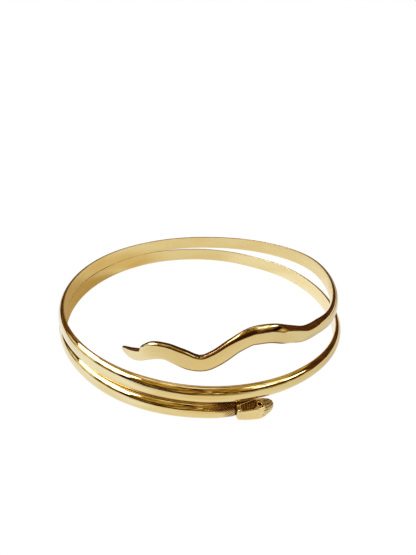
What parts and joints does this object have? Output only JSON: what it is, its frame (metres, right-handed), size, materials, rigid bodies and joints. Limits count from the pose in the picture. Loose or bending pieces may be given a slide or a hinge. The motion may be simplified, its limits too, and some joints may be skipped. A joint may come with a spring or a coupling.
{
  "type": "upper arm cuff",
  "caption": "Coiled snake arm cuff of polished half-round brass band, with a collared head, drilled eyes and a wavy flattened tail.",
  "frame": {"origin": "centre of the coil, where the arm's axis meets the surface that the cuff lies on", "axes": "+Z along the arm's axis, up from the surface towards the tail; the tail's waves face -Y"},
  "size_m": [0.0844, 0.0842, 0.0255],
  "materials": {
    "brass": "polished"
  },
  "bodies": {
    "root": {"snake": "brass"}
  },
  "joints": []
}
